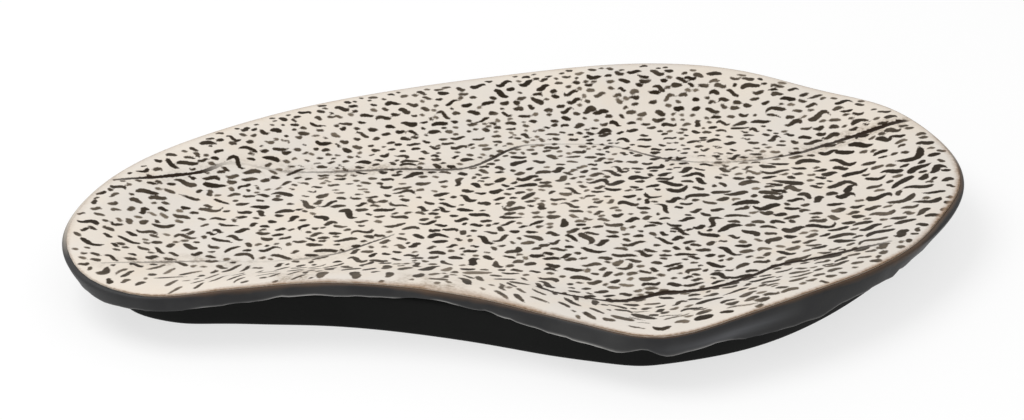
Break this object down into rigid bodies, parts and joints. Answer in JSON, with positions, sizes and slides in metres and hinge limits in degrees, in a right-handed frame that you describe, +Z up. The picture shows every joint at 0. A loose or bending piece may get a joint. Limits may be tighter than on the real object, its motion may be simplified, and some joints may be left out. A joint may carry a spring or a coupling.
{
  "type": "serving platter",
  "caption": "Free-form stoneware serving platter: a shallow draped slab with a waved rim, a cream slip face with drawn creases, and a strip foot set back under the rim.",
  "frame": {"origin": "centre of the bounding box in plan, on the plane that the foot stands on", "axes": "+X along the length, to the right as pictured; +Y to the back; +Z up"},
  "size_m": [0.4, 0.264, 0.033],
  "materials": {
    "dark_stoneware": "satin",
    "cream_slip": "satin",
    "foot_stoneware": "matte"
  },
  "bodies": {
    "root": {"tray_slab": "dark_stoneware", "slip_coat": "cream_slip", "foot_ring": "foot_stoneware", "luting_coil": "foot_stoneware"}
  },
  "joints": []
}
